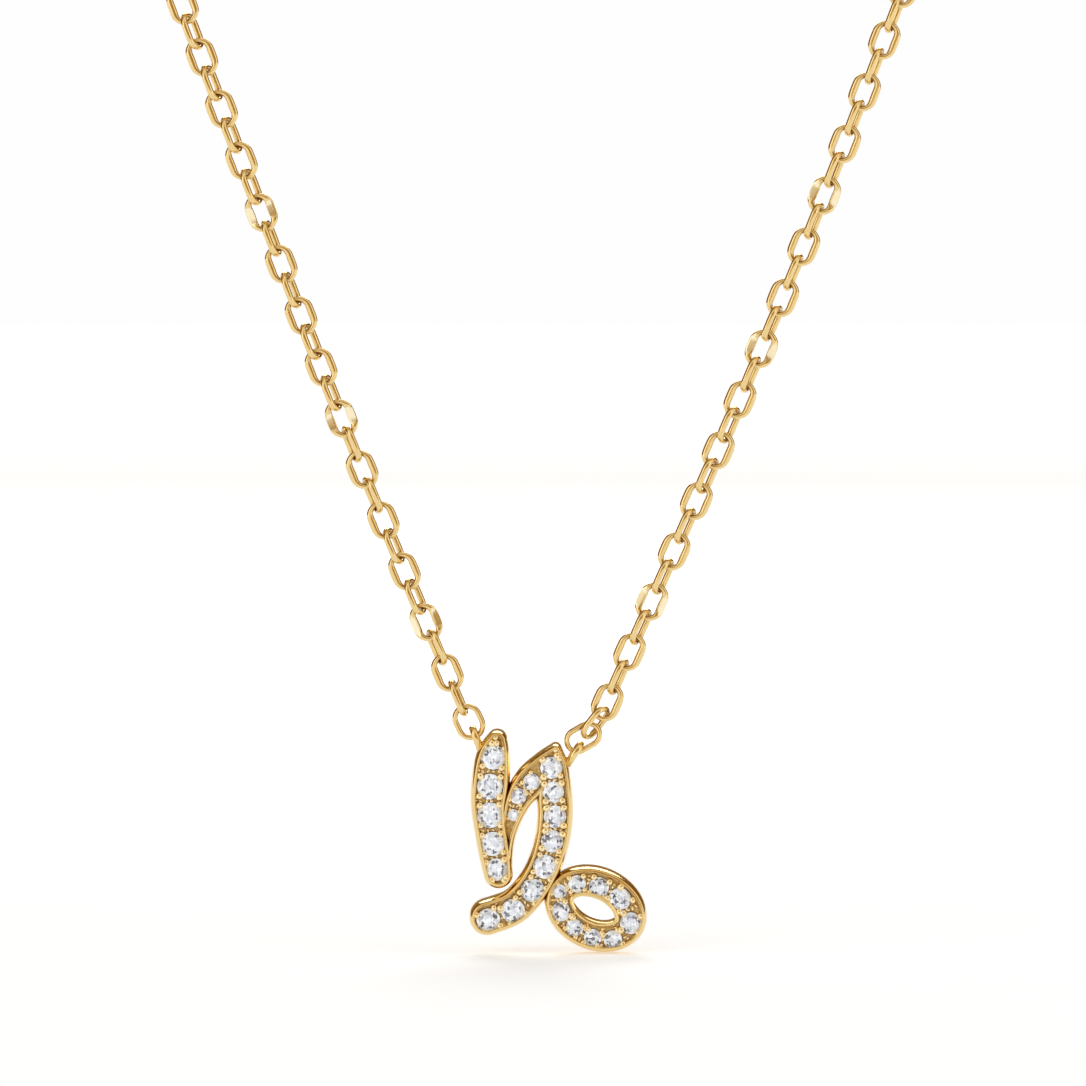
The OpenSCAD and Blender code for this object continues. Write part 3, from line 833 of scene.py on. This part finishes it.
def link(length=LINK_LENGTH, width=LINK_WIDTH, stout=SIDE_STOUT, cut_lean=None, fineness=FINE):
    """Oval link with its length along X and its width along Y."""
    sides, turn_steps, run_steps = fineness
    shape = bmesh.new()
    r = (width - LINK_WIRE) / 2
    half = (length - width) / 2
    upright = Matrix.Translation((half + r, 0, 0)) @ Matrix.Rotation(math.radians(90), 4, "X")
    section = bmesh.ops.create_circle(shape, segments=sides, radius=LINK_WIRE / 2, matrix=upright)["verts"]
    right, left = (half, 0, 0), (-half, 0, 0)
    moves = [(90, right), (-2 * half, 0, 0), (180, left), (2 * half, 0, 0), (90, right)]
    swept(shape, section, moves, turn_steps, run_steps)
    bmesh.ops.remove_doubles(shape, verts=shape.verts, dist=1e-4)
    flat_verts = set()
    for vert in shape.verts:
        near = max(-half, min(half, vert.co.x))
        out = Vector((vert.co.x - near, vert.co.y, 0))
        middle = Vector((near, 0, 0)) + out.normalized() * r
        share = 1 - min(abs(middle.x) / (half + r), 1) ** 2
        off = vert.co - middle
        off.y *= 1 + (stout - 1) * share
        off.z *= WIRE_TALL
        if cut_lean is not None:
            off.y *= 1 + (CUT_WIDE - 1) * share
            outer = off.y * math.copysign(1, middle.y)
            ends = (middle.x / (CUT_REACH * (half + r))) ** 6
            cut_height = CUT_TOP - cut_lean * outer + (LINK_WIRE / 2 + CUT_RISE) * ends
            if off.z > cut_height:
                off.z = cut_height
                flat_verts.add(vert)
        vert.co = middle + off
    for face in shape.faces:
        if flat_verts.issuperset(face.verts):
            face.material_index = 1
    bmesh.ops.recalc_face_normals(shape, faces=shape.faces)
    return shape


def jump_ring():
    shape = bmesh.new()
    upright = Matrix.Translation((JUMP_RADIUS, 0, 0)) @ Matrix.Rotation(math.radians(90), 4, "X")
    section = bmesh.ops.create_circle(shape, segments=10, radius=JUMP_WIRE / 2, matrix=upright)["verts"]
    bmesh.ops.spin(shape, geom=section + edges_between(section), cent=(0, 0, 0), axis=(0, 0, 1),
                   angle=2 * math.pi, steps=28, use_merge=True)
    return shape


def measured(points):
    """Points of a route with the distance of each along it."""
    far = [0.0]
    for a, b in zip(points, points[1:]):
        far.append(far[-1] + (b - a).length)
    return far, points


def route_at(route, s):
    far, points = route
    i = max(1, min(bisect.bisect_left(far, s), len(far) - 1))
    return points[i - 1].lerp(points[i], (s - far[i - 1]) / (far[i] - far[i - 1]))


def link_place(p, q, roll):
    """Matrix of a link between two points of the route, which faces out of the neck."""
    along = (q - p).normalized()
    c = (p + q) / 2
    out = Vector((c.x * abs(c.x) / SIDE_REACH, c.y, 0))
    out = (out - out.dot(along) * along).normalized()
    turn = Matrix((along, out.cross(along), out)).transposed().to_4x4()
    roll = Matrix.Rotation(math.radians(roll), 4, "X")
    return Matrix.Scale(MM, 4) @ Matrix.Translation(c) @ turn @ roll


fine_link, coarse_link = link(), link(fineness=COARSE)
cut_links = {lean: link(cut_lean=lean) for leans in CUT_AT.values() for lean in leans.values()}
for side, rows in ROUTES.items():
    route = measured(smooth(rows, ROUTE_STEPS))
    rear_count, short = REAR_LINKS[side]
    rear_pitch = (route[0][-1] - short - FRONT_LINKS * LINK_PITCH) / (rear_count - 0.5)
    turns = UPRIGHT_TURNS[side]
    front, rear = bmesh.new(), bmesh.new()
    for x, y, lean, length, width, roll in FIRST_LINKS[side]:
        place = (Matrix.Translation((x, y, 0)) @ Matrix.Rotation(math.radians(90 + lean), 4, "Z")
                 @ Matrix.Rotation(math.radians(roll), 4, "X"))
        added(front, link(length, width, stout=FIRST_STOUT), HUNG @ place)
    for i in range(FRONT_LINKS + rear_count):
        s = min(i, FRONT_LINKS) * LINK_PITCH + max(i - FRONT_LINKS, 0) * rear_pitch
        pitch = LINK_PITCH if i < FRONT_LINKS else rear_pitch
        roll = hand.uniform(-ROLL_STRAY, ROLL_STRAY)
        if i % 2 == UPRIGHT_AT[side]:
            roll += turns[i // 2] if i // 2 < len(turns) else UPRIGHT_TURN
        if i in CUT_AT[side]:
            master = cut_links[CUT_AT[side][i]]
        else:
            master = fine_link if i < FINE_LINKS else coarse_link
        added(front if i < FRONT_LINKS else rear, master,
              link_place(route_at(route, s), route_at(route, s + pitch), roll))
    if side == "right":
        added(rear, jump_ring(), Matrix.Scale(MM, 4) @ Matrix.Translation(JUMP_PLACE))
    for name, shape in (("chain_" + side, front), ("back_chain_" + side, rear)):
        piece = solid(name + "_links", shape)
        piece.data.materials.append(chain_gold)
        piece.data.materials.append(cut_gold_painted_highlight)
        piece.data.shade_smooth()
        piece.data.set_sharp_from_angle(angle=CHAIN_SMOOTH)
        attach(piece, "necklace")
        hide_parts(name)


# Clasp: a spring ring with its eye at the nape, as the frame has it, in the chain's gold.
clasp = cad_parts["clasp"]
clasp.data.materials.clear()
clasp.data.materials.append(chain_gold)
